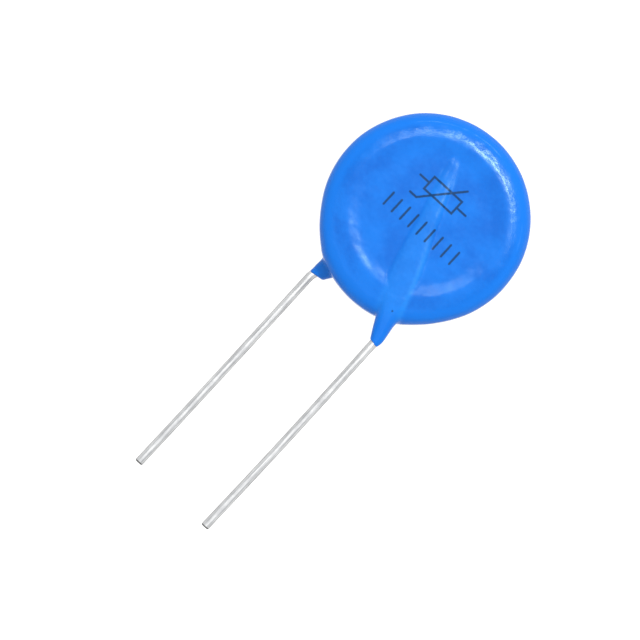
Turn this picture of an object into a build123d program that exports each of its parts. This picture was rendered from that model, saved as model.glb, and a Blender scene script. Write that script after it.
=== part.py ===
"""Radial-lead disc varistor, dip coated, lying on its back face. Millimetres.

Frame: +Z points up out of the front face, the leads leave along -Y and X runs across the pair.
The origin is midway between the two lead axes where they leave the coat, on the mid-plane of the disc.
The front lead is on the +X side. The back lead is the front lead turned half a turn about Y.
"""

from build123d import *

from math import cos, radians, sin, sqrt, tan
import os

# Ceramic disc and the silver fired on its faces
DISC_DIAMETER = 20.0
DISC_THICKNESS = 2.9
DISC_CHAMFER = 0.25
ELECTRODE_MARGIN = 1.1
ELECTRODE_THICKNESS = 0.03

# Leads: round wire, straight outside the coat, then bent to cross the middle of an electrode
WIRE_DIAMETER = 0.95
LEAD_PITCH = 10.0
LEAD_LENGTH = 26.8
LEAD_TIP_CHAMFER = 0.08
BEND_RADIUS = 3.0
BEND_ANGLE = 18.7
LEG_OVERRUN = 6.2

# Solder between each inner leg and its electrode
SOLDER_FILM = 0.05
SOLDER_BASE_WIDTH = 2.6
SOLDER_TOP_WIDTH = 1.2
SOLDER_HEIGHT = 0.62
SOLDER_MARGIN = 0.6
SOLDER_OVERRUN = 1.1

# Epoxy coat: thicknesses over the parts inside it
RIM_COAT = 1.43
FACE_COAT = 0.92
WIRE_COAT = 0.3

# Coat's face: flat dish, low swelling near the disc's edge, shoulder and rounded rim
RING_INSET = 1.08
RING_RISE = 0.27
RING_CROWN = 3.0
RING_INNER_SLOPE = 10.0
CROWN_INNER_ANGLE = 6.0
CROWN_OUTER_ANGLE = 16.0
SHOULDER_DROP = 0.08
SHOULDER_SLOPE = 20.0
RIM_ROUND = 1.7

# Coat's foot: the sag of the rim between the two leads
FOOT_SAG = 0.44
FOOT_RADIUS = 12.0
FOOT_WIDTH = 10.6
FOOT_SHOULDER_ANGLE = 47.0
FOOT_SHOULDER_INSET = 0.08
FOOT_THICKNESS = 4.0
FOOT_BEVEL = 1.3

# Coat's tails and ridges: what clings to each lead, from the tail's end to the end of the inner leg
FRONT_TAIL = 2.34
BACK_TAIL = 1.17
FRONT_TAIL_LIP = 0.08
BACK_TAIL_LIP = 0.2
TAIL_SEAT_GAP = 0.23
TAIL_ROOT_INSET = 3.1
TAIL_ROOT_RADIUS = 1.75
TAIL_ROOT_DROP = 0.015
RIDGE_START_INSET = 1.4
RIDGE_START_WIDTH = 2.4
RIDGE_START_DROP = 0.2
RIDGE_RING_INSET = 2.4
RIDGE_RING_WIDTH = 4.4
RIDGE_FOOT_INSET = 7.0
RIDGE_FOOT_WIDTH = 5.0
RIDGE_WAIST_WIDTH = 3.3
RIDGE_HEAD_WIDTH = 3.1
RIDGE_SINK = 0.55

# Derived levels and places, with y measured from the disc's centre
disc_radius = DISC_DIAMETER / 2
electrode_radius = disc_radius - ELECTRODE_MARGIN
electrode_face_z = DISC_THICKNESS / 2 + ELECTRODE_THICKNESS
wire_radius = WIRE_DIAMETER / 2
wire_axis_z = electrode_face_z + SOLDER_FILM + wire_radius
ridge_top_z = wire_axis_z + wire_radius + WIRE_COAT
dish_z = electrode_face_z + FACE_COAT
coat_radius = disc_radius + RIM_COAT
seat_y = -(coat_radius + FRONT_TAIL + TAIL_SEAT_GAP)
bend_end_y = seat_y + BEND_RADIUS * sin(radians(BEND_ANGLE))
bend_end_x = LEAD_PITCH / 2 - BEND_RADIUS * (1 - cos(radians(BEND_ANGLE)))
bend_arc = BEND_RADIUS * radians(BEND_ANGLE)
to_frame = Pos(0, -seat_y, 0)
to_back = Rot(0, 180, 0)
on_start = (Align.CENTER, Align.CENTER, Align.MIN)


def leg_distance(y: float) -> float:
    """Distance along the lead from the seating plane to where its inner leg crosses y."""
    return bend_arc + (y - bend_end_y) / cos(radians(BEND_ANGLE))


def leg_point(distance: float) -> Vector:
    """Point on the front lead's axis, a distance past the seating plane, with a straight lead-in."""
    if distance <= bend_arc:
        turn = distance / BEND_RADIUS
        x = LEAD_PITCH / 2 - BEND_RADIUS * (1 - cos(turn))
        return Vector(x, seat_y + BEND_RADIUS * sin(turn), wire_axis_z)
    run = distance - bend_arc
    x = bend_end_x - run * sin(radians(BEND_ANGLE))
    return Vector(x, bend_end_y + run * cos(radians(BEND_ANGLE)), wire_axis_z)


def leg_plane(distance: float, drop: float = 0.0) -> Plane:
    """Plane square to the front lead at that distance: its x runs across the lead, its y runs up."""
    turn = min(distance / BEND_RADIUS, radians(BEND_ANGLE))
    across = Vector(-cos(turn), -sin(turn), 0)
    onward = Vector(-sin(turn), cos(turn), 0)
    return Plane(leg_point(distance) - Vector(0, 0, drop), x_dir=across, z_dir=onward)


def ceramic_disc() -> Part:
    """Pressed and sintered disc with the bevel that the die leaves round both faces."""
    disc = Cylinder(disc_radius, DISC_THICKNESS)
    return chamfer(disc.edges().filter_by(GeomType.CIRCLE), DISC_CHAMFER)


def front_electrode() -> Part:
    """Silver layer on the front face, short of the disc's edge."""
    level = Pos(0, 0, DISC_THICKNESS / 2)
    return level * Cylinder(electrode_radius, ELECTRODE_THICKNESS, align=on_start)


def front_lead() -> Part:
    """One wire: chamfered tip, straight pin, bend at the seating plane and the leg that is soldered down."""
    start = Plane((LEAD_PITCH / 2, seat_y, wire_axis_z), x_dir=(1, 0, 0), z_dir=(0, -1, 0))
    pin = extrude(start * Circle(wire_radius), LEAD_LENGTH)
    pin = chamfer(pin.edges().sort_by(Axis.Y)[0], LEAD_TIP_CHAMFER)
    bend_centre = (LEAD_PITCH / 2 - BEND_RADIUS, seat_y, wire_axis_z)
    bend = revolve(leg_plane(0) * Circle(wire_radius), Axis(bend_centre, (0, 0, 1)), BEND_ANGLE)
    leg = extrude(leg_plane(bend_arc) * Circle(wire_radius), leg_distance(LEG_OVERRUN) - bend_arc)
    return pin + bend + leg


def front_solder(lead: Part) -> Part:
    """Bead along the leg, from near the electrode's edge to past the leg's end, less the wire in it."""
    leg_angle = radians(BEND_ANGLE)
    offset = leg_point(bend_arc).X * cos(leg_angle) + leg_point(bend_arc).Y * sin(leg_angle)
    nearest_y = offset * sin(leg_angle)
    half_chord = sqrt((electrode_radius - SOLDER_MARGIN) ** 2 - offset**2)
    start = leg_distance(nearest_y) - half_chord
    end = leg_distance(LEG_OVERRUN) + SOLDER_OVERRUN
    middle = leg_point((start + end) / 2)
    base = Plane((middle.X, middle.Y, electrode_face_z), x_dir=(-sin(leg_angle), cos(leg_angle), 0))
    narrowing = SOLDER_BASE_WIDTH - SOLDER_TOP_WIDTH
    bottom = base * SlotOverall(end - start, SOLDER_BASE_WIDTH)
    top = base.offset(SOLDER_HEIGHT) * SlotOverall(end - start - narrowing, SOLDER_TOP_WIDTH)
    return loft([bottom, top], ruled=True) - lead


def coat_lens() -> Part:
    """The coat round the disc, alike on both faces: dish, swelling, shoulder and the rim's two rounds."""
    crown_centre = (disc_radius - RING_INSET, dish_z + RING_RISE - RING_CROWN)
    crown_sweep = CROWN_OUTER_ANGLE + CROWN_INNER_ANGLE
    crown = CenterArc(crown_centre, RING_CROWN, 90 - CROWN_OUTER_ANGLE, crown_sweep)
    dish_edge = ((crown @ 1).X - ((crown @ 1).Y - dish_z) / tan(radians(RING_INNER_SLOPE)), dish_z)
    rim_centre_z = dish_z - SHOULDER_DROP - RIM_ROUND * cos(radians(SHOULDER_SLOPE))
    rim = CenterArc((coat_radius - RIM_ROUND, rim_centre_z), RIM_ROUND, 0, 90 - SHOULDER_SLOPE)
    face = [Polyline((0, dish_z), dish_edge, crown @ 1), crown, Line(crown @ 0, rim @ 1), rim]
    back = [mirror(edge, about=Plane.XZ) for edge in face]
    band = Line((coat_radius, rim_centre_z), (coat_radius, -rim_centre_z))
    profile = make_face([*face, band, *back, Line((0, -dish_z), (0, dish_z))])
    return revolve(Plane.XZ * profile, Axis.Z)


def coat_foot() -> Part:
    """Sag of the rim between the leads: a shallow arc with sides that run back into the rim."""
    half = FOOT_WIDTH / 2
    lowest = -(coat_radius + FOOT_SAG)
    corner_y = lowest + FOOT_RADIUS - sqrt(FOOT_RADIUS**2 - half**2)
    reach = coat_radius - FOOT_SHOULDER_INSET
    side_x = reach * sin(radians(FOOT_SHOULDER_ANGLE))
    side_y = -reach * cos(radians(FOOT_SHOULDER_ANGLE))
    sag = ThreePointArc((-half, corner_y), (0, lowest), (half, corner_y))
    sides = Polyline((half, corner_y), (side_x, side_y), (-side_x, side_y), (-half, corner_y))
    slab = extrude(make_face([sag, sides]), FOOT_THICKNESS / 2, both=True)
    lower_edges = slab.edges().filter_by_position(Axis.Y, lowest - 1, side_y - 0.01)
    return chamfer(lower_edges.filter_by(Axis.Z, reverse=True), FOOT_BEVEL)


def coat_tail(length: float, lip: float) -> Part:
    """Cone of coat that clings to one lead beyond the rim: thin at its end, its root deep in the coat."""
    end = leg_point(leg_distance(-(coat_radius + length)))
    root = leg_point(leg_distance(-(coat_radius - TAIL_ROOT_INSET)))
    root.Z = ridge_top_z - TAIL_ROOT_DROP - TAIL_ROOT_RADIUS
    along = root - end
    return Plane(end, z_dir=along) * Cone(wire_radius + lip, TAIL_ROOT_RADIUS, along.length, align=on_start)


def ridge_section(distance: float, width: float, drop: float = 0.0) -> Sketch:
    """Section of the ridge over the inner leg: an ellipse sunk into the coat, its crown level."""
    half_height = ridge_top_z - drop - wire_axis_z + RIDGE_SINK
    return leg_plane(distance, RIDGE_SINK) * Ellipse(width / 2, half_height)


def coat_ridge() -> Part:
    """Ridge of the coat over an inner leg: broad by the rim, narrow past the middle, round at its end."""
    head = leg_distance(LEG_OVERRUN)
    body = loft([
        ridge_section(leg_distance(-(coat_radius - RIDGE_START_INSET)), RIDGE_START_WIDTH, RIDGE_START_DROP),
        ridge_section(leg_distance(-(coat_radius - RIDGE_RING_INSET)), RIDGE_RING_WIDTH),
        ridge_section(leg_distance(-(coat_radius - RIDGE_FOOT_INSET)), RIDGE_FOOT_WIDTH),
        ridge_section(leg_distance(0), RIDGE_WAIST_WIDTH),
        ridge_section(head, RIDGE_HEAD_WIDTH),
    ], ruled=True)
    half_plane = Pos(-RIDGE_HEAD_WIDTH, 0) * Rectangle(2 * RIDGE_HEAD_WIDTH, 4 * RIDGE_HEAD_WIDTH)
    half_section = ridge_section(head, RIDGE_HEAD_WIDTH) & (leg_plane(head) * half_plane)
    end = revolve(half_section, Axis(leg_point(head), (0, 0, 1)), 180)
    return body + end


def epoxy_coating(contents: list[Part]) -> Part:
    """The dipped coat, hollow where its contents lie."""
    front = coat_ridge() + coat_tail(FRONT_TAIL, FRONT_TAIL_LIP)
    back = to_back * (coat_ridge() + coat_tail(BACK_TAIL, BACK_TAIL_LIP))
    coat = coat_lens() + coat_foot() + front + back
    for piece in contents:
        coat = coat - piece
    return coat


def main() -> None:
    """Build every piece, move it into the frame and write one STEP file each."""
    os.makedirs("parts", exist_ok=True)
    disc = ceramic_disc()
    electrode = front_electrode()
    lead = front_lead()
    solder = front_solder(lead)
    pieces = {
        "ceramic_disc": disc,
        "front_electrode": electrode,
        "back_electrode": to_back * electrode,
        "front_solder": solder,
        "back_solder": to_back * solder,
        "front_lead": lead,
        "back_lead": to_back * lead,
    }
    pieces["epoxy_coating"] = epoxy_coating(list(pieces.values()))
    for name, shape in pieces.items():
        export_step(to_frame * shape, f"parts/{name}.step")


main()
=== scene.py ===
"""Dressing of a radial-lead disc varistor: its dipped coat, its tinned wires and the pieces sealed inside.

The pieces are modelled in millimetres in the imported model's own frame and brought to metres at the end.
"""

from __future__ import annotations

import logging
import math
from collections.abc import Callable, Sequence
from dataclasses import dataclass
from enum import Enum

import bmesh
import bpy
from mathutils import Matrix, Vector


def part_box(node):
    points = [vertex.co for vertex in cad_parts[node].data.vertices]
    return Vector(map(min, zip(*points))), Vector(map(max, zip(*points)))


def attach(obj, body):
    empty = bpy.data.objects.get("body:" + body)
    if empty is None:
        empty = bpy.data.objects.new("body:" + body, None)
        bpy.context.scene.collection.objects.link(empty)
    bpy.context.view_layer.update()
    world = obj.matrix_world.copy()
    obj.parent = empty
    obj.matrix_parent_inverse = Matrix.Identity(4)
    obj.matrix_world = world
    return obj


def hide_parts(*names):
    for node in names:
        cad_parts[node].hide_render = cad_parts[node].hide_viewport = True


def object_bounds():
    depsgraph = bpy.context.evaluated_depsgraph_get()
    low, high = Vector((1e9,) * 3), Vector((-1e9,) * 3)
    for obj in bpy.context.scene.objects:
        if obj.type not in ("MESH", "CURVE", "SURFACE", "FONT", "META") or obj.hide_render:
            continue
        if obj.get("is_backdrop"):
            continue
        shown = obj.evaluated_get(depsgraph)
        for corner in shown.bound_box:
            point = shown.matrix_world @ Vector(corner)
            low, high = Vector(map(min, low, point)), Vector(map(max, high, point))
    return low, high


log = logging.getLogger("varistor")
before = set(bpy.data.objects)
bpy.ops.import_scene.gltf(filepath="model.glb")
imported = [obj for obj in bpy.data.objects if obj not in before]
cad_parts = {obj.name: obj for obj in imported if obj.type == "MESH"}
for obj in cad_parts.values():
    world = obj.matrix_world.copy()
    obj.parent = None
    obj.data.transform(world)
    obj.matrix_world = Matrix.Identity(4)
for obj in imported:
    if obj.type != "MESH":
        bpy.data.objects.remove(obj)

MM = 0.001
DISC_Y = 14.0  # from the origin up to the disc's axis
LEAN_DEGREES = 18.7  # how far an inner leg leans towards the middle of the disc

Pair = tuple[float, float]
Colour = tuple[float, float, float]
Point = tuple[float, float, float]
Band = tuple[float, float, float, float]
Section = tuple[float, float, float, float]


class Side(Enum):
    """Which face of the disc a wire is soldered to, as the sign of its x and z."""

    FRONT = 1
    BACK = -1


# -------------------------------------------------------------------------------------------------
# Shader tools
# -------------------------------------------------------------------------------------------------


class Value:
    """A number socket of a shader. Arithmetic on it adds Math nodes."""

    def __init__(self, shader: Shader, socket: bpy.types.NodeSocket) -> None:
        """Wraps a socket.

        Args:
            shader: The shader that new nodes are added to.
            socket: The output socket that holds the number.
        """
        self.shader = shader
        self.socket = socket

    def _math(self, operation: str, *inputs: Value | float) -> Value:
        """Adds one Math node.

        Args:
            operation: Name of the Math node's operation.
            inputs: Values or numbers for its sockets, in order.

        Returns:
            The node's result.
        """
        sockets = dict(enumerate(inputs))
        node = self.shader.node("ShaderNodeMath", {"operation": operation}, sockets)
        return Value(self.shader, node.outputs[0])

    def __add__(self, other: Value | float) -> Value:
        """Sum."""
        return self._math("ADD", self, other)

    def __sub__(self, other: Value | float) -> Value:
        """Difference."""
        return self._math("SUBTRACT", self, other)

    def __rsub__(self, other: float) -> Value:
        """Difference from a number."""
        return self._math("SUBTRACT", other, self)

    def __mul__(self, other: Value | float) -> Value:
        """Product."""
        return self._math("MULTIPLY", self, other)

    __radd__ = __add__
    __rmul__ = __mul__

    def __truediv__(self, other: Value | float) -> Value:
        """Quotient."""
        return self._math("DIVIDE", self, other)

    def __pow__(self, other: Value | float) -> Value:
        """Power."""
        return self._math("POWER", self, other)

    def __abs__(self) -> Value:
        """Size without its sign."""
        return self._math("ABSOLUTE", self)

    def least(self, other: Value | float) -> Value:
        """The smaller of the two."""
        return self._math("MINIMUM", self, other)

    def most(self, other: Value | float) -> Value:
        """The larger of the two."""
        return self._math("MAXIMUM", self, other)

    def repeat(self, period: float) -> Value:
        """What is left after whole periods are taken away."""
        return self._math("FLOORED_MODULO", self, period)

    def hypot(self, other: Value) -> Value:
        """Length of the flat vector that the two make."""
        return (self ** 2.0 + other ** 2.0) ** 0.5

    def rise(self, low: float, high: float) -> Value:
        """A soft step.

        Args:
            low: The number at and below which the step is 0.
            high: The number at and above which the step is 1.

        Returns:
            The step, from 0 to 1.
        """
        settings = {"interpolation_type": "SMOOTHSTEP"}
        sockets = {"Value": self, "From Min": low, "From Max": high}
        return Value(self.shader, self.shader.node("ShaderNodeMapRange", settings, sockets).outputs[0])

    def band(self, start: float, full: float, fall: float, end: float) -> Value:
        """A stretch with soft ends.

        Args:
            start: Where it begins to rise.
            full: Where it is 1.
            fall: Where it begins to drop.
            end: Where it is 0 again.

        Returns:
            1 within the stretch and 0 outside it.
        """
        return self.rise(start, full) * (1 - self.rise(fall, end))


class Shader:
    """A material with one Principled shader, and the few node recipes that the finishes share."""

    def __init__(self, name: str) -> None:
        """Makes the material with its shader and position sockets.

        Args:
            name: The material's name.
        """
        self.material = bpy.data.materials.new(name)
        self.material.use_nodes = True
        self.tree = self.material.node_tree
        self.tree.nodes.clear()
        self.surface = self.node("ShaderNodeBsdfPrincipled", {}, {})
        self.node("ShaderNodeOutputMaterial", {}, {"Surface": self.surface.outputs[0]})
        metres = self.node("ShaderNodeTexCoord", {}, {}).outputs["Object"]
        scaled = self.node("ShaderNodeVectorMath", {"operation": "SCALE"}, {0: metres, "Scale": 1 / MM})
        self.place = scaled.outputs[0]
        axes = self.node("ShaderNodeSeparateXYZ", {}, {0: self.place})
        self.x, self.y, self.z = (Value(self, socket) for socket in axes.outputs)

    def front(self) -> Value:
        """1 on the front face and 0 on the back."""
        return self.z.rise(0.0, 0.1)

    def node(
        self, kind: str, settings: dict[str, object], sockets: dict[str | int, object]
    ) -> bpy.types.Node:
        """Adds a node.

        Args:
            kind: The node's type name.
            settings: Its properties, set first.
            sockets: Numbers, colours, vectors, Values or sockets for its inputs, by name or place.

        Returns:
            The new node.
        """
        node = self.tree.nodes.new(kind)
        for name, setting in settings.items():
            setattr(node, name, setting)
        self._feed(node, sockets)
        return node

    def _feed(self, node: bpy.types.Node, sockets: dict[str | int, object]) -> None:
        """Links or sets a node's inputs.

        Args:
            node: The node.
            sockets: What its inputs get, by name or place.
        """
        for key, content in sockets.items():
            if isinstance(content, Value):
                content = content.socket
            if isinstance(content, bpy.types.NodeSocket):
                self.tree.links.new(content, node.inputs[key])
            else:
                node.inputs[key].default_value = content

    def stretched(self, scale: Point) -> bpy.types.NodeSocket:
        """Position with each axis scaled, for grain that runs one way.

        Args:
            scale: Factor along x, y and z.

        Returns:
            The scaled position.
        """
        return self.node("ShaderNodeMapping", {}, {"Vector": self.place, "Scale": scale}).outputs[0]

    def noise(self, per_mm: float, detail: float = 2.0, place: bpy.types.NodeSocket | None = None) -> Value:
        """Soft noise about 0.5.

        Args:
            per_mm: Waves in a millimetre.
            detail: Octaves of finer noise.
            place: Position to read, or None for the plain one.

        Returns:
            The noise's value.
        """
        sockets = {"Vector": place or self.place, "Scale": per_mm, "Detail": detail}
        return Value(self, self.node("ShaderNodeTexNoise", {}, sockets).outputs[0])

    def mixed(self, factor: Value | float, first: object, second: object) -> bpy.types.NodeSocket:
        """Blend of two colours.

        Args:
            factor: 0 for the first colour and 1 for the second.
            first: A colour or a colour socket.
            second: A colour or a colour socket.

        Returns:
            The blended colour.
        """
        colours = [(*c, 1.0) if isinstance(c, tuple) else c for c in (first, second)]
        node = self.node("ShaderNodeMix", {"data_type": "RGBA"}, {0: factor, 6: colours[0], 7: colours[1]})
        return node.outputs[2]

    def bumped(self, height: Value, strength: float, depth_mm: float) -> bpy.types.NodeSocket:
        """Normal of a fine relief.

        Args:
            height: The relief, from 0 to 1.
            strength: How much of it is felt.
            depth_mm: Its depth in millimetres.

        Returns:
            The normal.
        """
        sockets = {"Strength": strength, "Distance": depth_mm * MM, "Height": height}
        return self.node("ShaderNodeBump", {}, sockets).outputs[0]

    def dress(self, sockets: dict[str, object]) -> bpy.types.Material:
        """Sets the shader's own sockets and hands over the material.

        Args:
            sockets: Numbers, colours or sockets by the shader's socket names.

        Returns:
            The finished material.
        """
        self._feed(self.surface, sockets)
        return self.material


# -------------------------------------------------------------------------------------------------
# Finishes
# -------------------------------------------------------------------------------------------------


@dataclass(frozen=True)
class InkedMark:
    """Generic marking in one ink: the schematic sign for a varistor over a row of bars. Millimetres."""

    centre: Pair = (-0.3, 17.0)
    stroke: float = 0.25
    edge: float = 0.05
    half_box: Pair = (2.0, 0.85)
    half_length: float = 3.3
    slant_start: Pair = (-2.0, -2.1)
    slant_end: Pair = (1.7, 2.1)
    foot_length: float = 0.9
    row_y: float = 12.8
    row_half_height: float = 0.85
    row_span: Pair = (-5.0, 5.8)
    row_pitch: float = 1.2
    bleed_per_mm: float = 6.0
    bleed: float = 0.06

    def _segment(self, x: Value, y: Value, start: Pair, end: Pair) -> Value:
        """Distance to a straight stroke.

        Args:
            x: Place across, from the sign's centre.
            y: Place up, from the sign's centre.
            start: One end of the stroke.
            end: Its other end.

        Returns:
            The distance.
        """
        run = Vector(end) - Vector(start)
        length = run.length
        ux, uy = run / length
        rx, ry = x - start[0], y - start[1]
        along = (rx * ux + ry * uy).most(0.0).least(length)
        return (rx - along * ux).hypot(ry - along * uy)

    def _sign(self, shader: Shader) -> Value:
        """Distance to the sign: a box on a line, and a footed slanting line across it.

        Args:
            shader: The shader that the marking belongs to.

        Returns:
            The distance to its nearest line.
        """
        x, y = shader.x - self.centre[0], shader.y - self.centre[1]
        half_x, half_y = self.half_box
        foot_end = (self.slant_start[0] - self.foot_length, self.slant_start[1])
        box = abs((abs(x) - half_x).most(abs(y) - half_y))
        arms = self._segment(abs(x), y, (half_x, 0.0), (self.half_length, 0.0))
        slant = self._segment(x, y, self.slant_start, self.slant_end)
        foot = self._segment(x, y, foot_end, self.slant_start)
        return box.least(arms).least(slant).least(foot)

    def _bars(self, shader: Shader) -> Value:
        """Distance to the row of upright bars.

        Args:
            shader: The shader that the marking belongs to.

        Returns:
            The distance to the nearest bar.
        """
        first, last = self.row_span
        across = abs((shader.x - first).repeat(self.row_pitch) - self.row_pitch / 2)
        above = (abs(shader.y - self.row_y) - self.row_half_height).most(0.0)
        beyond = (abs(shader.x - (first + last) / 2) - (last - first) / 2).most(0.0)
        return across + above + beyond

    def mask(self, shader: Shader) -> Value:
        """Where the ink lies.

        Args:
            shader: The shader that the marking belongs to.

        Returns:
            1 on ink and 0 beside it.
        """
        distance = self._sign(shader).least(self._bars(shader))
        ragged = distance + (shader.noise(self.bleed_per_mm) - 0.5) * self.bleed
        ink = 1 - ragged.rise(self.stroke / 2 - self.edge, self.stroke / 2 + self.edge)
        return ink * shader.front()


@dataclass(frozen=True)
class RidgeSheen:
    """A lighter tint painted over the ridge on an inner leg, on either face: a painted reflection over the
    ridge's top and a painted highlight along its right flank. Millimetres along and across the leg.
    """

    foot: Pair = (4.84, 0.96)
    lean_degrees: float = LEAN_DEGREES
    reach: Band = (1.0, 4.0, 18.0, 20.5)
    half_width: float = 1.75
    narrowing: float = 0.65
    narrows: Pair = (8.0, 14.0)
    side: Pair = (0.75, 1.1)
    body: float = 0.45
    streak: float = 0.55
    streak_place: float = 0.72
    streak_width: float = 0.5
    streak_fades: Pair = (9.0, 13.0)

    def mask(self, shader: Shader) -> Value:
        """How much painted reflection and highlight lies over the ridge.

        Args:
            shader: The coat's shader.

        Returns:
            1 over the leg and 0 away from it.
        """
        lean = math.radians(self.lean_degrees)
        face = shader.z.rise(-0.1, 0.1) * 2 - 1
        x, y = shader.x * face - self.foot[0], shader.y - self.foot[1]
        across = x * math.cos(lean) + y * math.sin(lean)
        along = y * math.cos(lean) - x * math.sin(lean)
        half_width = self.half_width - along.rise(*self.narrows) * self.narrowing
        body = 1 - (abs(across) / half_width).rise(*self.side)
        # painted highlight: a bright line along the ridge's right flank
        streak = 1 - abs(across - half_width * self.streak_place).rise(0.0, self.streak_width)
        lower = 1 - along.rise(*self.streak_fades)
        return (body * self.body + streak * self.streak * lower) * along.band(*self.reach)


@dataclass(frozen=True)
class EpoxyFinish:
    """Glossy azure epoxy with a faint mottle, a slight orange peel and the ink on its front face."""

    deep: Colour = (0.0002, 0.070, 0.335)
    light: Colour = (0.0012, 0.096, 0.405)
    # lighter blue painted over the lead ridges as a painted reflection and highlight
    ridge_sheen_colour: Colour = (0.007, 0.127, 0.44)
    # painted light: a lighter blue on the rim band, standing in for light that the sloping band would
    # otherwise miss
    rim: Colour = (0.002, 0.098, 0.415)
    ink: Colour = (0.001, 0.017, 0.06)
    ink_cover: float = 0.92
    mark: InkedMark = InkedMark()
    ridge_sheen: RidgeSheen = RidgeSheen()
    disc_y: float = DISC_Y
    rim_light_starts: Pair = (9.6, 10.4)
    rim_light_fades: Pair = (10.7, 11.3)
    rim_light_fade: float = 0.3
    ring: Band = (8.9, 9.3, 10.2, 10.8)
    lip: Band = (10.3, 10.55, 10.55, 10.85)
    pinhole: Pair = (4.14, 4.09)
    pinhole_edge: Pair = (0.06, 0.16)
    pinhole_cover: float = 0.8
    roughness: float = 0.22
    roughness_swing: float = 0.12
    gleam: float = 0.22
    edge_tint: Colour = (0.72, 1.0, 0.96)
    peel: float = 0.8
    peel_depth: float = 0.08

    def _colour(self, shader: Shader, mottle: Value, radius: Value) -> bpy.types.NodeSocket:
        """Blends the epoxy's blues, the painted light on the rim band, the painted reflection and highlight
        over the lead ridges, the ink and the pinhole.

        Args:
            shader: The coat's shader.
            mottle: Fine noise over the coat.
            radius: Distance from the disc's axis.

        Returns:
            The colour.
        """
        cloud = shader.noise(0.3, 3.0)
        tone = (cloud * 0.85 + mottle * 0.15).rise(0.3, 0.7)
        # painted light: the rim band is lifted towards the rim colour and eased back near the outer edge
        edge = radius.rise(*self.rim_light_starts) * (1 - radius.rise(*self.rim_light_fades) * self.rim_light_fade)
        face = shader.mixed(edge, shader.mixed(tone, self.deep, self.light), self.rim)
        # painted reflection and highlight: the lead ridges are tinted lighter
        coat = shader.mixed(self.ridge_sheen.mask(shader) * (0.55 + mottle * 0.6), face, self.ridge_sheen_colour)
        beside = (shader.x - self.pinhole[0]).hypot(shader.y - self.pinhole[1])
        pinhole = (1 - beside.rise(*self.pinhole_edge)) * shader.front()
        dark = (self.mark.mask(shader) * self.ink_cover).most(pinhole * self.pinhole_cover)
        return shader.mixed(dark, coat, self.ink)

    def _peel(self, shader: Shader, radius: Value) -> Value:
        """Orange peel, coarser on the raised ring, with a broken lip outside it on the upper half.

        Args:
            shader: The coat's shader.
            radius: Distance from the disc's axis.

        Returns:
            The relief.
        """
        upper = (shader.y - self.disc_y).rise(-1.0, 4.0)
        lip = radius.band(*self.lip) * shader.noise(0.25).rise(0.45, 0.58) * upper
        fine = 0.1 + radius.band(*self.ring) * 0.35
        return shader.noise(0.7, 1.0) * 0.9 + shader.noise(1.6, 2.0) * fine + lip * 0.45

    def material(self) -> bpy.types.Material:
        """Makes the coat's material.

        Returns:
            The material.
        """
        shader = Shader("azure_epoxy")
        mottle = shader.noise(2.4, 4.0)
        radius = shader.x.hypot(shader.y - self.disc_y)
        return shader.dress({
            "Base Color": self._colour(shader, mottle, radius),
            "Roughness": self.roughness + (mottle - 0.5) * self.roughness_swing,
            "Normal": shader.bumped(self._peel(shader, radius), self.peel, self.peel_depth),
            "Specular IOR Level": self.gleam,
            "Specular Tint": (*self.edge_tint, 1.0),
        })


@dataclass(frozen=True)
class TinFinish:
    """Bright tin plating drawn out along the wire, with a dull cut end and the last 0.2 mm before the tip
    darkened.
    """

    tip_y: float
    bright: Colour = (0.64, 0.64, 0.635)
    dull: Colour = (0.44, 0.44, 0.445)
    cut: Colour = (0.05, 0.048, 0.046)
    edge_tint: Colour = (0.12, 0.12, 0.12)
    drawn: Point = (9.0, 0.35, 9.0)
    roughness: float = 0.24
    roughness_swing: float = 0.16
    relief: float = 0.9
    relief_depth: float = 0.05
    cut_facing: Pair = (0.55, 0.95)
    cut_depth: float = 0.12
    cut_blend: float = 0.06
    tip_dark_depth: float = 0.2
    tip_dark_blend: float = 0.08
    tip_darkening: float = 0.95

    def material(self) -> bpy.types.Material:
        """Makes the wires' material.

        Returns:
            The material.
        """
        shader = Shader("tinned_wire")
        drawn = shader.noise(1.0, 3.0, shader.stretched(self.drawn))
        blotch = shader.noise(0.8, 2.0)
        tone = (drawn * 0.7 + blotch * 0.3).rise(0.35, 0.65)
        normal = shader.node("ShaderNodeNewGeometry", {}, {}).outputs["Normal"]
        facing = Value(shader, shader.node("ShaderNodeSeparateXYZ", {}, {0: normal}).outputs[1])
        near = (self.tip_y + self.cut_depth - shader.y).rise(0.0, self.cut_blend)
        # darkens the last 0.2 mm before the tip towards the cut colour, on every face of the wire
        tip_darkening = (self.tip_y + self.tip_dark_depth - shader.y).rise(0.0, self.tip_dark_blend)
        end = ((0 - facing).rise(*self.cut_facing) * near).most(tip_darkening * self.tip_darkening)
        relief = drawn * 0.5 + blotch * 0.3 + shader.noise(3.5, 2.0) * 0.2
        return shader.dress({
            "Base Color": shader.mixed(end, shader.mixed(tone, self.dull, self.bright), self.cut),
            "Metallic": 1 - end * 0.5,
            "Roughness": self.roughness + (blotch - 0.5) * self.roughness_swing + end * 0.3,
            "Specular Tint": (*self.edge_tint, 1.0),
            "Normal": shader.bumped(relief, self.relief, self.relief_depth),
        })


@dataclass(frozen=True)
class CeramicFinish:
    """Dark sintered zinc oxide with a fine grain."""

    dark: Colour = (0.10, 0.095, 0.09)
    pale: Colour = (0.22, 0.21, 0.20)

    def material(self) -> bpy.types.Material:
        """Makes the disc's material.

        Returns:
            The material.
        """
        shader = Shader("sintered_oxide")
        grain = shader.noise(9.0, 5.0)
        patch = shader.noise(0.5, 2.0)
        tone = (grain * 0.7 + patch * 0.3).rise(0.3, 0.7)
        return shader.dress({
            "Base Color": shader.mixed(tone, self.dark, self.pale),
            "Roughness": 0.6 + grain * 0.25,
            "Normal": shader.bumped(grain, 0.5, 0.03),
        })


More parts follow.
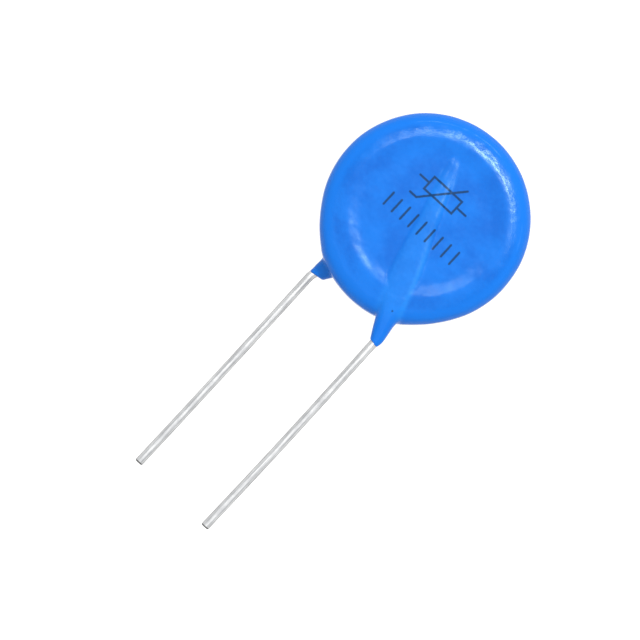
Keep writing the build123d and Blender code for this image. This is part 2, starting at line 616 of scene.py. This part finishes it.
@dataclass(frozen=True)
class MetalFinish:
    """Dull worked metal: fired silver paste or set solder."""

    name: str
    dark: Colour
    pale: Colour
    roughness: float
    grain: float

    def material(self) -> bpy.types.Material:
        """Makes the metal's material.

        Returns:
            The material.
        """
        shader = Shader(self.name)
        grain = shader.noise(self.grain, 4.0)
        flow = shader.noise(0.4, 2.0)
        tone = (grain * 0.5 + flow * 0.5).rise(0.3, 0.7)
        return shader.dress({
            "Base Color": shader.mixed(tone, self.dark, self.pale),
            "Metallic": 1.0,
            "Roughness": self.roughness + (grain - 0.5) * 0.2,
            "Normal": shader.bumped(grain, 0.4, 0.02),
        })


@dataclass(frozen=True)
class TableFinish:
    """Pale matte table top with the least mottle, lit from within as a light table is."""

    dark: Colour = (0.12, 0.12, 0.12)
    pale: Colour = (0.14, 0.14, 0.14)
    glow: float = 0.95

    def material(self) -> bpy.types.Material:
        """Makes the table's material.

        Returns:
            The material.
        """
        shader = Shader("pale_table")
        mottle = shader.noise(0.02, 3.0)
        return shader.dress({
            "Base Color": shader.mixed(mottle, self.dark, self.pale),
            "Roughness": 0.75 + (mottle - 0.5) * 0.1,
            "Emission Color": (1.0, 1.0, 1.0, 1.0),
            "Emission Strength": self.glow,
        })


# -------------------------------------------------------------------------------------------------
# Modelling tools
# -------------------------------------------------------------------------------------------------


class Bench:
    """The modelling steps that the pieces share. All sizes are in millimetres until a piece is finished."""

    SHARP_DEGREES = 50.0  # past this angle an edge stays sharp

    @staticmethod
    def clear() -> None:
        """Leaves nothing selected or active, out of edit mode."""
        if bpy.context.object and bpy.context.object.mode != "OBJECT":
            bpy.ops.object.mode_set(mode="OBJECT")
        bpy.ops.object.select_all(action="DESELECT")
        bpy.context.view_layer.objects.active = None

    @classmethod
    def pick(cls, piece: bpy.types.Object) -> None:
        """Selects one piece alone and makes it active.

        Args:
            piece: The piece.
        """
        cls.clear()
        piece.select_set(True)
        bpy.context.view_layer.objects.active = piece

    @staticmethod
    def active() -> bpy.types.Object:
        """The object being worked on."""
        return bpy.context.view_layer.objects.active

    @classmethod
    def disc(cls, sides: int, radius: float, centre: Point) -> bpy.types.Object:
        """Adds a filled disc that faces along y, with its place in its mesh.

        Args:
            sides: Vertices round it.
            radius: Its radius.
            centre: Its middle.

        Returns:
            The disc.
        """
        cls.clear()
        bpy.ops.mesh.primitive_circle_add(
            vertices=sides, radius=radius, fill_type="NGON", location=centre, rotation=(math.pi / 2, 0.0, 0.0)
        )
        bpy.ops.object.transform_apply(location=True, rotation=True, scale=True)
        return cls.active()

    @staticmethod
    def start_edit() -> None:
        """Goes into edit mode on the active object, with all of it selected."""
        bpy.ops.object.mode_set(mode="EDIT")
        bpy.ops.mesh.select_mode(type="VERT")
        bpy.ops.mesh.select_all(action="SELECT")

    @staticmethod
    def end_edit() -> None:
        """Goes back to object mode."""
        bpy.ops.object.mode_set(mode="OBJECT")

    @classmethod
    def select(cls, test: Callable[[Vector], bool]) -> None:
        """Selects the vertices whose place passes a test. Works in edit mode.

        Args:
            test: Takes a vertex's place and says whether it is wanted.
        """
        bpy.ops.mesh.select_all(action="DESELECT")
        mesh = cls.active().data
        shape = bmesh.from_edit_mesh(mesh)
        for vertex in shape.verts:
            vertex.select_set(test(vertex.co))
        shape.select_flush_mode()
        bmesh.update_edit_mesh(mesh)

    @staticmethod
    def push(move: Sequence[float]) -> None:
        """Extrudes what is selected.

        Args:
            move: How far the new ring or face goes.
        """
        bpy.ops.mesh.extrude_region_move(TRANSFORM_OT_translate={"value": tuple(move)})

    @staticmethod
    def resize(factors: Point, about: Sequence[float]) -> None:
        """Scales what is selected.

        Args:
            factors: Factor along x, y and z.
            about: The point that stays.
        """
        bpy.ops.transform.resize(value=factors, center_override=tuple(about))

    @staticmethod
    def clean(distance: float = 0.0005) -> None:
        """Merges doubles and points the faces outwards. Works in edit mode.

        Args:
            distance: How near two vertices are to be merged.
        """
        bpy.ops.mesh.select_all(action="SELECT")
        bpy.ops.mesh.remove_doubles(threshold=distance)
        bpy.ops.mesh.normals_make_consistent(inside=False)

    @classmethod
    def modify(cls, piece: bpy.types.Object, kind: str, **settings: object) -> None:
        """Adds a modifier and applies it.

        Args:
            piece: The piece to change.
            kind: The modifier's type name.
            settings: The modifier's properties.
        """
        cls.pick(piece)
        modifier = piece.modifiers.new(kind.lower(), kind)
        for name, setting in settings.items():
            setattr(modifier, name, setting)
        bpy.ops.object.modifier_apply(modifier=modifier.name)

    @classmethod
    def join(cls, parts: Sequence[bpy.types.Object]) -> bpy.types.Object:
        """Joins parts into one object.

        Args:
            parts: What it is made of.

        Returns:
            The joined object.
        """
        cls.pick(parts[0])
        for part in parts[1:]:
            part.select_set(True)
        bpy.ops.object.join()
        return parts[0]

    @classmethod
    def finish(
        cls, piece: bpy.types.Object, name: str, slot: str, material: bpy.types.Material, node: str
    ) -> None:
        """Brings a piece to metres, shades it, dresses it and puts it in place of its CAD node.

        Args:
            piece: The finished mesh, in millimetres.
            name: The piece's name.
            slot: Not used.
            material: The piece's finish.
            node: The CAD node that it stands for.
        """
        piece.name = piece.data.name = name
        cls.pick(piece)
        cls.start_edit()
        cls.clean()
        cls.resize((MM, MM, MM), (0.0, 0.0, 0.0))
        cls.end_edit()
        bpy.ops.object.shade_smooth_by_angle(angle=math.radians(cls.SHARP_DEGREES))
        piece.data.materials.clear()
        piece.data.materials.append(material)
        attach(piece, "root")
        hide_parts(node)


# -------------------------------------------------------------------------------------------------
# Sub-assemblies
# -------------------------------------------------------------------------------------------------


@dataclass
class TinnedWire:
    """One lead: a cut tip, a straight pin with a slight bow, a bend and the leg inside the coat."""

    side: Side
    node: str
    name: str
    bow: float
    bend_start: float
    bend_radius: float
    bend_degrees: float = LEAN_DEGREES
    bend_steps: int = 8
    segments: int = 40
    face_share: float = 0.8
    tip_rings: tuple[Pair, ...] = ((0.03, 0.89), (0.09, 0.965), (0.18, 1.0))
    pin_steps: int = 26
    leg_steps: int = 6
    leg_clearance: float = 0.2

    def build(self, material: bpy.types.Material) -> bpy.types.Object:
        """Models and dresses the wire.

        Args:
            material: The tin plating.

        Returns:
            The finished wire.
        """
        low, high = (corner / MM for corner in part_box(self.node))
        radius = (high.z - low.z) / 2
        axis_x = self.side.value * (max(abs(low.x), abs(high.x)) - radius)
        axis_z = (high.z + low.z) / 2
        tip = Vector((axis_x, low.y, axis_z))
        wire = Bench.disc(self.segments, radius * self.face_share, tip)
        Bench.start_edit()
        self._tip(tip)
        self._pin(self.bend_start - low.y)
        bend_end = self._bend(Vector((axis_x, self.bend_start, axis_z)))
        self._leg(bend_end, high.y)
        Bench.end_edit()
        Bench.finish(wire, self.name, "tinned_wire", material, self.node)
        return wire

    def _tip(self, end: Vector) -> None:
        """Rounds the cut end.

        Args:
            end: The middle of the cut face.
        """
        reached, width = 0.0, self.face_share
        for depth, share in self.tip_rings:
            Bench.push((0.0, depth - reached, 0.0))
            factor = share / width
            Bench.resize((factor, 1.0, factor), end)
            reached, width = depth, share

    def _pin(self, length: float) -> None:
        """Draws the pin out to the bend, with its slight bow.

        Args:
            length: From the cut end to the bend.
        """
        start = self.tip_rings[-1][0]
        step = (length - start) / self.pin_steps
        before = 0.0
        for index in range(1, self.pin_steps + 1):
            aside = self.bow * math.sin(math.pi * index / self.pin_steps)
            Bench.push((aside - before, step, 0.0))
            before = aside

    def _bend(self, start: Vector) -> Vector:
        """Turns the wire towards the middle of the disc.

        Args:
            start: Where the bend begins, on the wire's axis.

        Returns:
            Where it ends.
        """
        sign = self.side.value
        turn = math.radians(self.bend_degrees) / self.bend_steps
        chord = 2 * self.bend_radius * math.sin(turn / 2)
        place = start.copy()
        for index in range(self.bend_steps):
            heading = turn * (index + 0.5)
            move = Vector((-sign * math.sin(heading), math.cos(heading), 0.0)) * chord
            Bench.push(move)
            place += move
            bpy.ops.transform.rotate(value=-sign * turn, orient_axis="Z", center_override=tuple(place))
        return place

    def _leg(self, start: Vector, top: float) -> None:
        """Runs the leg straight on to its end.

        Args:
            start: Where the bend ended.
            top: The highest y that the leg reaches.
        """
        heading = math.radians(self.bend_degrees)
        direction = Vector((-self.side.value * math.sin(heading), math.cos(heading), 0.0))
        length = (top - start.y) / math.cos(heading) - self.leg_clearance
        for _ in range(self.leg_steps):
            Bench.push(direction * length / self.leg_steps)


@dataclass(frozen=True)
class Tail:
    """What clings to one lead beyond the rim.

    Its sections are a y from the disc's centre, a half width, a top level and a bottom level.
    """

    end: float
    slant: float
    inward: float
    sections: tuple[Section, ...]


@dataclass
class DippedCoat:
    """The epoxy skin: a dished lens with a raised ring and a sagging rim, and a ridge and tail on each lead.

    Its lens profile is a radius, a level and a slope in degrees. Its ridge sections are like a tail's.
    """

    name: str = "coat_skin"
    node: str = "epoxy_coating"
    skin_inset: float = 0.015
    floor_level: float = 2.39
    floor_radii: tuple[float, ...] = (0.0, 2.0, 4.5)
    profile: tuple[Point, ...] = (
        (6.60, 2.39, 0.0), (7.45, 2.44, 8.5), (8.32, 2.585, 9.0), (8.66, 2.63, 0.0),
        (8.97, 2.606, -11.5), (9.32, 2.528, -13.4), (9.68, 2.438, -14.8), (10.05, 2.325, -20.0),
        (10.45, 2.165, -26.0), (10.80, 1.97, -41.0), (11.16, 1.56, -62.0), (11.415, 0.78, -84.0),
    )
    profile_steps: int = 10
    rim_level: float = 0.35
    spin_steps: int = 256
    sag_steps: tuple[Pair, ...] = (
        (5.4, 0.10), (6.0, 0.10), (6.6, 0.10), (7.4, 0.09), (8.0, 0.08), (8.6, 0.07), (9.2, 0.04),
    )
    sag_blend: float = 1.3
    lead_x: float = 5.0
    bend_y: float = -DISC_Y
    bend_radius: float = 3.0
    lean_degrees: float = LEAN_DEGREES
    ridge: tuple[Section, ...] = (
        (-9.6, 2.15, 2.74, 0.02), (-8.4, 2.70, 2.75, 0.0), (-7.0, 2.95, 2.74, 0.0),
        (-5.2, 2.90, 2.72, 0.0), (-3.2, 2.65, 2.71, 0.0), (-1.2, 2.30, 2.70, 0.0),
        (1.0, 2.00, 2.68, 0.0), (3.6, 1.85, 2.62, 0.0), (5.4, 1.75, 2.54, 0.0),
    )
    front_tail: Tail = Tail(
        end=13.95, slant=0.2, inward=0.0, sections=(
            (-14.6, 0.54, 2.52, 1.49), (-13.9, 0.60, 2.58, 1.43), (-13.0, 0.87, 2.62, 1.25),
            (-12.0, 1.07, 2.66, 0.96), (-11.3, 1.20, 2.68, 0.75), (-10.6, 1.42, 2.70, 0.40),
        ))
    back_tail: Tail = Tail(
        end=12.72, slant=0.15, inward=0.13, sections=(
            (-13.4, 0.60, 2.58, 1.43), (-12.7, 0.84, 2.62, 1.25), (-12.2, 0.96, 2.65, 1.05),
            (-11.7, 1.14, 2.67, 0.85), (-11.2, 1.26, 2.68, 0.70), (-10.6, 1.45, 2.70, 0.40),
        ))
    cap_degrees: tuple[float, ...] = (15, 30, 45, 60, 72, 82, 88)
    cap_reach: float = 3.7
    cap_drop: float = 1.0
    cover_steps: int = 4
    cover_segments: int = 48
    inward_from: float = 10.0
    cut_aside: float = 0.3
    voxel: float = 0.12
    smoothing: int = 11
    swell_size: float = 4.5
    swell_depth: float = 0.07

    def build(self, material: bpy.types.Material) -> bpy.types.Object:
        """Models and dresses the coat.

        Args:
            material: The epoxy.

        Returns:
            The finished coat.
        """
        low, high = (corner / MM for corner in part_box(self.node))
        full_radius = (high.x - low.x) / 2
        radius = full_radius - self.skin_inset
        skin = Bench.join([
            self._lens(radius),
            self._lead_cover(Side.FRONT, self.front_tail),
            self._lead_cover(Side.BACK, self.back_tail),
        ])
        Bench.modify(skin, "REMESH", mode="VOXEL", voxel_size=self.voxel, adaptivity=0.0)
        Bench.modify(skin, "SMOOTH", factor=0.5, iterations=self.smoothing)
        self._flow(skin)
        Bench.pick(skin)
        Bench.start_edit()
        bpy.ops.transform.translate(value=(0.0, high.y - full_radius, 0.0))
        Bench.end_edit()
        Bench.finish(skin, self.name, "coat", material, self.node)
        return skin

    def _half_section(self, radius: float) -> list[Pair]:
        """Points of the lens's half section, from its middle to its rim.

        Args:
            radius: The lens's radius.

        Returns:
            Pairs of a radius and a level.
        """
        points = [(r, self.floor_level) for r in self.floor_radii]
        for (r0, z0, slope0), (r1, z1, slope1) in zip(self.profile, self.profile[1:]):
            run = r1 - r0
            rise0, rise1 = math.tan(math.radians(slope0)) * run, math.tan(math.radians(slope1)) * run
            for index in range(self.profile_steps):
                t = index / self.profile_steps
                level = (
                    (2 * t**3 - 3 * t**2 + 1) * z0 + (t**3 - 2 * t**2 + t) * rise0
                    + (3 * t**2 - 2 * t**3) * z1 + (t**3 - t**2) * rise1
                )
                points.append((r0 + run * t, level))
        return points + [self.profile[-1][:2], (radius, self.rim_level), (radius, 0.0)]

    def _lens(self, radius: float) -> bpy.types.Object:
        """Spins the half section into the lens round the disc, and lets its rim sag between the leads.

        Args:
            radius: The lens's radius.

        Returns:
            The lens as a closed form.
        """
        front = self._half_section(radius)
        section = front + [(r, -z) for r, z in reversed(front[:-1])]
        Bench.clear()
        bpy.ops.mesh.primitive_plane_add(size=1.0, location=(0.0, 0.0, 0.0))
        lens = Bench.active()
        Bench.start_edit()
        bpy.ops.mesh.merge(type="CENTER")
        bpy.ops.transform.translate(value=(section[0][0], 0.0, section[0][1]))
        for (r0, z0), (r1, z1) in zip(section, section[1:]):
            Bench.push((r1 - r0, 0.0, z1 - z0))
        bpy.ops.mesh.select_all(action="SELECT")
        bpy.ops.mesh.spin(
            steps=self.spin_steps, angle=2 * math.pi, center=(0.0, 0.0, 0.0), axis=(0.0, 0.0, 1.0)
        )
        Bench.clean(0.001)
        rim = radius - self.sag_blend
        for half_width, drop in self.sag_steps:
            Bench.select(lambda place: place.y < 0 and abs(place.x) < half_width and place.xy.length > rim)
            bpy.ops.transform.translate(
                value=(0.0, -drop, 0.0), use_proportional_edit=True,
                proportional_edit_falloff="SMOOTH", proportional_size=self.sag_blend,
            )
        Bench.end_edit()
        return lens

    def _smoothed(self, sections: Sequence[Section]) -> list[Section]:
        """Sections of the coat over one lead, closely spaced.

        Args:
            sections: The widely spaced ones, in order.

        Returns:
            The same run with others between each pair.
        """
        rows = []
        ends = zip((sections[0], *sections), sections, sections[1:], (*sections[2:], sections[-1]))
        for before, start, end, after in ends:
            for index in range(self.cover_steps):
                t = index / self.cover_steps
                rows.append(tuple(
                    0.5 * (
                        2 * b + (c - a) * t + (2 * a - 5 * b + 4 * c - d) * t**2
                        + (3 * b - a - 3 * c + d) * t**3
                    )
                    for a, b, c, d in zip(before, start, end, after)
                ))
        rows.append(sections[-1])
        return rows

    def _axis_x(self, y: float) -> float:
        """Where the front lead's axis crosses a y, measured from the disc's centre.

        Args:
            y: Place along the disc's y.

        Returns:
            The x of the axis.
        """
        lean = math.radians(self.lean_degrees)
        bend_end = self.bend_y + self.bend_radius * math.sin(lean)
        turn = min(lean, math.asin(min(1.0, max(0.0, y - self.bend_y) / self.bend_radius)))
        bent = self.lead_x - self.bend_radius * (1 - math.cos(turn))
        return bent - max(0.0, y - bend_end) * math.tan(lean)

    def _lead_cover(self, side: Side, tail: Tail) -> bpy.types.Object:
        """Draws the ridge and tail that cling to one lead, ring by ring.

        Args:
            side: The face that the lead is soldered to.
            tail: The tail below the rim.

        Returns:
            The cover as a closed form.
        """
        rows = self._smoothed((*tail.sections, *self.ridge))
        y, half_width, top, bottom = rows[-1]
        for turn in map(math.radians, self.cap_degrees):
            reach, drop = self.cap_reach * math.sin(turn), self.cap_drop * (1 - math.cos(turn))
            rows.append((y + reach, half_width * math.cos(turn), top - drop, bottom))
        middles = []
        for y, _, top, bottom in rows:
            inward = tail.inward * max(0.0, min(1.0, -y - self.inward_from))
            middles.append(Vector((self._axis_x(y) - inward, y, (top + bottom) / 2)))
        cover = Bench.disc(self.cover_segments, 1.0, middles[0])
        Bench.start_edit()
        _, half_width, top, bottom = rows[0]
        Bench.resize((half_width, 1.0, (top - bottom) / 2), middles[0])
        for before, row, start, target in zip(rows, rows[1:], middles, middles[1:]):
            Bench.push(target - start)
            factors = (row[1] / before[1], 1.0, (row[2] - row[3]) / (before[2] - before[3]))
            Bench.resize(factors, target)
        Bench.clean()
        self._cut_tail(tail)
        if side is Side.BACK:
            bpy.ops.mesh.select_all(action="SELECT")
            Bench.resize((-1.0, 1.0, -1.0), (0.0, 0.0, 0.0))
            bpy.ops.mesh.normals_make_consistent(inside=False)
        Bench.end_edit()
        return cover

    def _cut_tail(self, tail: Tail) -> None:
        """Cuts the tail's end aslant across the lead.

        Args:
            tail: The tail, whose end is how far below the disc's centre it reaches.
        """
        bpy.ops.mesh.select_all(action="SELECT")
        lowest = (self._axis_x(-tail.end) + self.cut_aside, -tail.end, 0.0)
        slant = Vector((tail.slant, 1.0, 0.0)).normalized()
        bpy.ops.mesh.bisect(plane_co=lowest, plane_no=tuple(slant), use_fill=True, clear_inner=True)

    def _flow(self, skin: bpy.types.Object) -> None:
        """Gives the skin the slight unevenness of a dipped coat.

        Args:
            skin: The fused skin, in millimetres.
        """
        swell = bpy.data.textures.new("coat_flow", "CLOUDS")
        swell.noise_scale = self.swell_size
        swell.noise_depth = 1
        Bench.modify(
            skin, "DISPLACE", texture=swell, texture_coords="LOCAL", strength=self.swell_depth, mid_level=0.5
        )


@dataclass
class SealedPieces:
    """The CAD pieces inside the coat, which keep their own meshes and get their finishes here."""

    oxide: CeramicFinish = CeramicFinish()
    silver: MetalFinish = MetalFinish("fired_silver", (0.62, 0.60, 0.55), (0.86, 0.85, 0.80), 0.55, 7.0)
    solder: MetalFinish = MetalFinish("set_solder", (0.45, 0.46, 0.48), (0.72, 0.73, 0.75), 0.35, 3.0)

    def dress(self) -> list[bpy.types.Object]:
        """Puts a finish on each piece.

        Returns:
            The dressed pieces.
        """
        groups = (
            (self.oxide, ("ceramic_disc",)),
            (self.silver, ("front_electrode", "back_electrode")),
            (self.solder, ("front_solder", "back_solder")),
        )
        pieces = []
        for finish, nodes in groups:
            material = finish.material()
            for node in nodes:
                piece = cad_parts[node]
                if not piece.material_slots:
                    piece.data.materials.append(material)
                for slot in piece.material_slots:
                    slot.material = material
                pieces.append(piece)
        return pieces


@dataclass(frozen=True)
class Lamp:
    """A soft rectangular lamp that faces the disc. Millimetres and watts."""

    name: str
    place: Point
    size: Pair
    watts: float


@dataclass
class Studio:
    """A pale table with swept-up edges, soft lights and a long-lens camera straight above the part.

    Its row of lamps is a direction about the disc's axis, in degrees from +Y, and a power in watts.
    """

    disc_y: float = DISC_Y
    row: tuple[Pair, ...] = (
        (-62.0, 0.03), (-50.0, 0.06), (-38.0, 0.15), (-26.0, 0.11), (-14.0, 0.22), (-2.0, 0.57),
        (10.0, 0.69), (22.0, 0.61), (34.0, 0.20), (46.0, 0.08), (58.0, 0.04),
    )
    row_height: float = 420.0
    row_distance: float = 227.0
    row_lamp: Pair = (48.0, 50.0)
    fill: Lamp = Lamp("fill", (-104.0, 104.0, 420.0), (60.0, 60.0), 0.14)
    ceiling: Lamp = Lamp("ceiling", (0.0, 0.0, 1000.0), (1200.0, 1200.0), 2.5)
    sky: Colour = (0.96, 0.98, 1.0)
    sky_strength: float = 1.05
    table_half: float = 600.0
    table_cuts: int = 8
    edge_share: float = 0.99
    edge_lifts: Pair = (20.0, 60.0)
    edge_spread: float = 1.05
    view_centre: Pair = (-0.95, -1.9)
    view_width: float = 69.57
    view_turn: float = 42.62
    lens: float = 180.0
    sensor: float = 36.0
    clip_metres: Pair = (0.01, 10.0)

    def build(self) -> None:
        """Makes the camera, the table and the lights."""
        self._camera()
        self._table()
        self._lights()
        self._world()

    def _camera(self) -> None:
        """Hangs the camera over the middle of the view."""
        data = bpy.data.cameras.new("studio_camera")
        data.lens, data.sensor_width = self.lens, self.sensor
        data.clip_start, data.clip_end = self.clip_metres
        camera = bpy.data.objects.new("studio_camera", data)
        bpy.context.scene.collection.objects.link(camera)
        distance = self.view_width * self.lens / self.sensor
        camera.location = (self.view_centre[0] * MM, self.view_centre[1] * MM, distance * MM)
        camera.rotation_euler = (0.0, 0.0, math.radians(self.view_turn))
        bpy.context.scene.camera = camera

    def _table(self) -> None:
        """Lays the table under the part's lowest point."""
        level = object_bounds()[0].z / MM
        Bench.clear()
        bpy.ops.mesh.primitive_grid_add(
            x_subdivisions=self.table_cuts, y_subdivisions=self.table_cuts, size=2 * self.table_half,
            location=(0.0, 0.0, level),
        )
        table = Bench.active()
        bpy.ops.object.transform_apply(location=True, rotation=True, scale=True)
        Bench.start_edit()
        edge = self.table_half * self.edge_share
        Bench.select(lambda place: abs(place.x) > edge or abs(place.y) > edge)
        for lift in self.edge_lifts:
            Bench.push((0.0, 0.0, lift))
            Bench.resize((self.edge_spread, self.edge_spread, 1.0), (0.0, 0.0, level))
        bpy.ops.mesh.select_all(action="SELECT")
        bpy.ops.mesh.normals_make_consistent(inside=True)
        Bench.resize((MM, MM, MM), (0.0, 0.0, 0.0))
        Bench.end_edit()
        table.name = table.data.name = "pale_table"
        bpy.ops.object.shade_smooth()
        table.data.materials.append(TableFinish().material())
        table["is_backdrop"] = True

    def _lights(self) -> None:
        """Hangs a curved row of soft lamps beyond the disc, one to its left and a broad even one above."""
        lamps = [self.fill, self.ceiling]
        for degrees, watts in self.row:
            aside = math.radians(degrees)
            x, y = self.row_distance * math.sin(aside), self.row_distance * math.cos(aside)
            place = (x, self.disc_y + y, self.row_height)
            lamps.append(Lamp(f"lamp_{degrees:.0f}", place, self.row_lamp, watts))
        for lamp in lamps:
            self._hang(lamp)

    def _hang(self, lamp: Lamp) -> None:
        """Hangs one lamp and turns it to the disc.

        Args:
            lamp: The lamp.
        """
        data = bpy.data.lights.new(lamp.name, "AREA")
        data.shape = "RECTANGLE"
        data.size, data.size_y = lamp.size[0] * MM, lamp.size[1] * MM
        data.energy = lamp.watts
        light = bpy.data.objects.new(lamp.name, data)
        bpy.context.scene.collection.objects.link(light)
        light.location = Vector(lamp.place) * MM
        light.visible_camera = False
        light.rotation_mode = "QUATERNION"
        aim = Vector((0.0, self.disc_y, 0.0)) - Vector(lamp.place)
        light.rotation_quaternion = aim.to_track_quat("-Z", "Y")

    def _world(self) -> None:
        """Surrounds the table with an even pale light."""
        world = bpy.data.worlds.new("studio")
        world.use_nodes = True
        background = world.node_tree.nodes["Background"]
        background.inputs["Color"].default_value = (*self.sky, 1.0)
        background.inputs["Strength"].default_value = self.sky_strength
        bpy.context.scene.world = world
        bpy.context.scene.view_settings.view_transform = "Standard"


def main() -> None:
    """Builds the part and its setting in order, and reports each piece."""
    logging.basicConfig(level=logging.INFO, format="%(name)s: %(message)s")
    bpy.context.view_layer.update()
    Studio().build()
    log.info("studio: set")
    tin = TinFinish(tip_y=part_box("front_lead")[0].y / MM).material()
    front = TinnedWire(Side.FRONT, "front_lead", "front_wire", bow=0.1, bend_start=0.0, bend_radius=3.0)
    back = TinnedWire(Side.BACK, "back_lead", "back_wire", bow=0.05, bend_start=0.7, bend_radius=2.0)
    pieces = [front.build(tin), back.build(tin), DippedCoat().build(EpoxyFinish().material())]
    for piece in pieces + SealedPieces().dress():
        log.info("%s: %d faces", piece.name, len(piece.data.polygons))


if __name__ == "__main__":
    main()
